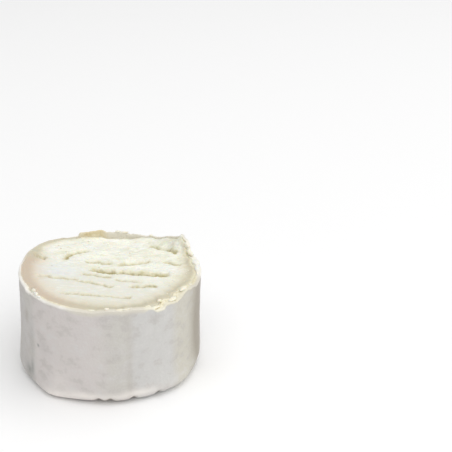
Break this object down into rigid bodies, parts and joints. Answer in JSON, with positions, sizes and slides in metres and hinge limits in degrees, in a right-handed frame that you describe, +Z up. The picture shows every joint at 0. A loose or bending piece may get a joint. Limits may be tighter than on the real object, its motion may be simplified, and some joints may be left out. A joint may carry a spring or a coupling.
{
  "type": "goat cheese medallion",
  "caption": "Thick round slice of soft goat cheese with a white bloomy rind, a tan creamline and a crumbly torn cut face, standing on its rounded rind-covered end.",
  "frame": {"origin": "on the surface it stands on, under the middle of the piece's bounding box", "axes": "+Z up out of the cut face, -Y towards the viewer in the picture, +X to the viewer's right"},
  "size_m": [0.0727, 0.0715, 0.0428],
  "materials": {
    "cheese": "matt, soft and slightly moist: white mould rind outside, ivory crumbly paste with a tan creamline on the cut face"
  },
  "bodies": {
    "root": {"cheese_medallion": "cheese"}
  },
  "joints": []
}
